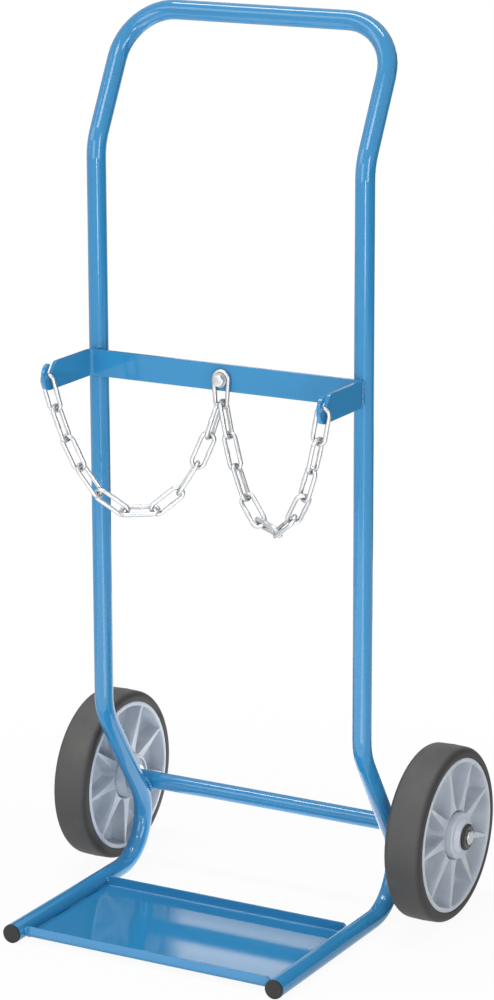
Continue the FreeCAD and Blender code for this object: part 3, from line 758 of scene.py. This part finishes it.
def addWelds():
    w = frameWelds
    for word, side in sideSigns.items():
        gridPiece(f"{word}_axle_weld", [(beadGrid(axlePath(side), axleWeld["bead"], True), True, True)],
                  "blue_paint", "frame")
        low, high = w["strapHeights"]
        beads = [beadGrid(straightPath((side * x, y, low), (side * x, y, high)), w["strapBead"])
                 for x, y in (w["strapOuter"], w["strapInner"])]
        gridPiece(f"{word}_strap_welds", [(bead, False, True) for bead in beads], "blue_paint", "frame")
        x, z = side * w["trayX"], w["trayZ"]
        stitches = [beadGrid(straightPath((x, start, z), (x, end, z)), w["trayBead"])
                    for start, end in w["trayStitches"]]
        low, high = w["lipHeights"]
        x = side * w["lipX"]
        stitches += [beadGrid(straightPath((x, y, low), (x, y, high)), w["lipBead"])
                     for y in (w["lipFront"], w["lipBack"])]
        gridPiece(f"{word}_tray_welds", [(stitch, False, True) for stitch in stitches], "blue_paint", "frame")


addChain()
for word, side in sideSigns.items():
    addTyre(word, side)
    addRim(word, side)
    addLockRing(word, side)
addBolt()
addWelds()
print("links, wheels, fasteners and welds added")

# studio: white surroundings, soft boxes and dark cards that give the gloss its contrast; lengths in metres,
# places as azimuth, height and distance from the middle
studio = {
    "ambient": 0.27,
    "floorSize": 16.0,
    "floorColour": (0.66, 0.66, 0.66),
    "floorLift": 0.94,
    "fadeFrom": 0.35,
    "fadeTo": 1.2,
    "boxes": {
        "key_box": {"azimuth": -6, "low": 0.6, "high": 2.4, "wide": 1.4, "away": 3.4, "power": 29},
        "fill_box": {"azimuth": 60, "low": 0.6, "high": 2.4, "wide": 1.0, "away": 3.4, "power": 38},
        "side_box": {"azimuth": -60, "low": 0.9, "high": 2.6, "wide": 0.5, "away": 3.0, "power": 4},
        "left_box": {"azimuth": -43, "low": 2.9, "high": 5.6, "wide": 3.2, "away": 6.0, "power": 75},
        "brow_box": {"azimuth": 3, "low": 4.0, "high": 4.8, "wide": 2.0, "away": 3.6, "power": 35},
        "back_box": {"azimuth": 172, "low": 0.8, "high": 3.0, "wide": 2.2, "away": 4.2, "power": 44},
        "camera_strip": {"azimuth": 34, "low": 0.0, "high": 0.9, "wide": 0.6, "away": 4.7, "power": 24},
    },
    "mattOnly": ("back_box",),
    "overhead": {"size": (6.2, 1.6), "place": (-1.3, 0.15, 8.0), "power": 400},
    "rearBox": {"size": (2.47, 0.18), "place": (-0.635, 3.05, 1.48), "power": 2.5,
                "colour": (1.0, 0.84, 0.70)},
    "floorLights": {
        "floor_strip": {"azimuth": 34, "near": 0.7, "far": 4.8, "wide": 0.5, "height": 0.003, "power": 16},
        "floor_glow": {"azimuth": 0, "near": 0.252, "far": 2.1, "wide": 2.4, "height": 0.002, "power": 13},
        "floor_back": {"azimuth": 180, "near": 0.02, "far": 1.5, "wide": 0.42, "height": 0.002, "power": 2.8},
    },
    "cardGlow": 0.12,
    "cards": {
        "rear_low": ((-4.5, 3.0, 0.9), (0.6, 3.0, 1.404)),
        "rear_left": ((-4.5, 3.0, 1.404), (-1.87, 3.0, 1.56)),
        "rear_high": ((-4.5, 3.0, 1.56), (0.6, 3.0, 2.4)),
        "rear_right": ((0.6, 3.0, 0.0), (4.2, 3.0, 2.4)),
        "right_card": ((4.2, -1.6, 0.0), (4.2, 3.0, 1.3)),
        "floor_card": ((-4.5, 1.9, 0.004), (4.2, 3.0, 0.004)),
    },
}


def addLight(name, place, aim, size, power, colour=(1, 1, 1)):
    lamp = bpy.data.lights.new(name, "AREA")
    lamp.shape = "RECTANGLE"
    lamp.size, lamp.size_y = size
    lamp.energy = power
    lamp.color = colour
    light = bpy.data.objects.new(name, lamp)
    bpy.context.scene.collection.objects.link(light)
    light.location = place
    light.rotation_mode = "QUATERNION"
    light.rotation_quaternion = (Vector(aim) - Vector(place)).to_track_quat("-Z", "Y")
    light.visible_camera = False
    return light


def stagePiece(name, corners, quads, material):
    mesh = bpy.data.meshes.new(name)
    mesh.from_pydata(corners, [], quads)
    mesh.materials.append(material)
    piece = bpy.data.objects.new(name, mesh)
    bpy.context.scene.collection.objects.link(piece)
    return piece


def whiteSeen(start):
    # one for what is seen straight or through gloss and glass, nought for light that falls on the object
    seen = start.node("ShaderNodeLightPath", output="Is Camera Ray")
    for kind in ("Is Glossy Ray", "Is Transmission Ray"):
        seen = start.math("MAXIMUM", seen, start.node("ShaderNodeLightPath", output=kind))
    return seen


def addStudio():
    s = studio
    world = bpy.data.worlds.new("white_room")
    bpy.context.scene.world = world
    world.use_nodes = True
    world.node_tree.nodes.clear()
    start = Signal(world.node_tree)
    light = start.node("ShaderNodeBackground", None, {
        "Color": rgb((1, 1, 1)), "Strength": s["ambient"] + (1 - s["ambient"]) * whiteSeen(start)})
    start.node("ShaderNodeOutputWorld", None, {"Surface": light})

    # the floor fades to plain white away from the object, and keeps its shadow near it
    half = s["floorSize"] / 2
    material, start = newFinish("pale_floor")
    matt = start.node("ShaderNodeBsdfDiffuse", None, {"Color": rgb(s["floorColour"])})
    glow = start.node("ShaderNodeEmission", None, {"Color": rgb((1, 1, 1)), "Strength": 1.0})
    away = start.node("ShaderNodeVectorMath", {"operation": "LENGTH"}, {0: start.place()}, 1)
    lift = s["floorLift"] + (1 - s["floorLift"]) * away.ramp(s["fadeFrom"], s["fadeTo"])
    both = start.node("ShaderNodeMixShader", None, {0: lift * whiteSeen(start), 1: matt, 2: glow})
    start.node("ShaderNodeOutputMaterial", None, {"Surface": both})
    stagePiece("floor", [(-half, -half, 0), (half, -half, 0), (half, half, 0), (-half, half, 0)],
               [(0, 1, 2, 3)], material)

    # dark cards, seen only in gloss
    material, start = newFinish("dark_card")
    glow = start.node("ShaderNodeEmission", None, {"Color": rgb((1, 1, 1)), "Strength": s["cardGlow"]})
    start.node("ShaderNodeOutputMaterial", None, {"Surface": glow})
    for name, ((x0, y0, z0), (x1, y1, z1)) in s["cards"].items():
        level = z0 == z1
        turns = [(x0, y0, z0), (x1, y0 if level else y1, z0), (x1, y1, z1), (x0, y1 if level else y0, z1)]
        card = stagePiece(name, turns, [(0, 1, 2, 3)], material)
        for kind in ("camera", "diffuse", "transmission", "shadow"):
            setattr(card, f"visible_{kind}", False)

    for name, box in s["boxes"].items():
        turn = math.radians(box["azimuth"])
        middle = (box["low"] + box["high"]) / 2
        place = (math.sin(turn) * box["away"], -math.cos(turn) * box["away"], middle)
        light = addLight(name, place, (0, 0, middle), (box["wide"], box["high"] - box["low"]), box["power"])
        light.visible_glossy = name not in s["mattOnly"]
    top, rear = s["overhead"], s["rearBox"]
    addLight("overhead_box", top["place"], (*top["place"][:2], 0), top["size"], top["power"])
    addLight("rear_box", rear["place"], (rear["place"][0], 0, rear["place"][2]), rear["size"], rear["power"],
             rear["colour"])
    for name, strip in s["floorLights"].items():
        turn = math.radians(strip["azimuth"])
        away = (strip["near"] + strip["far"]) / 2
        low = addLight(name, (math.sin(turn) * away, -math.cos(turn) * away, strip["height"]), (0, 0, 1),
                       (strip["wide"], strip["far"] - strip["near"]), strip["power"])
        low.rotation_mode = "XYZ"
        low.rotation_euler = (math.pi, 0, turn)


addCamera()
addStudio()
bpy.context.scene.view_settings.view_transform = "Standard"
print("studio and camera set")
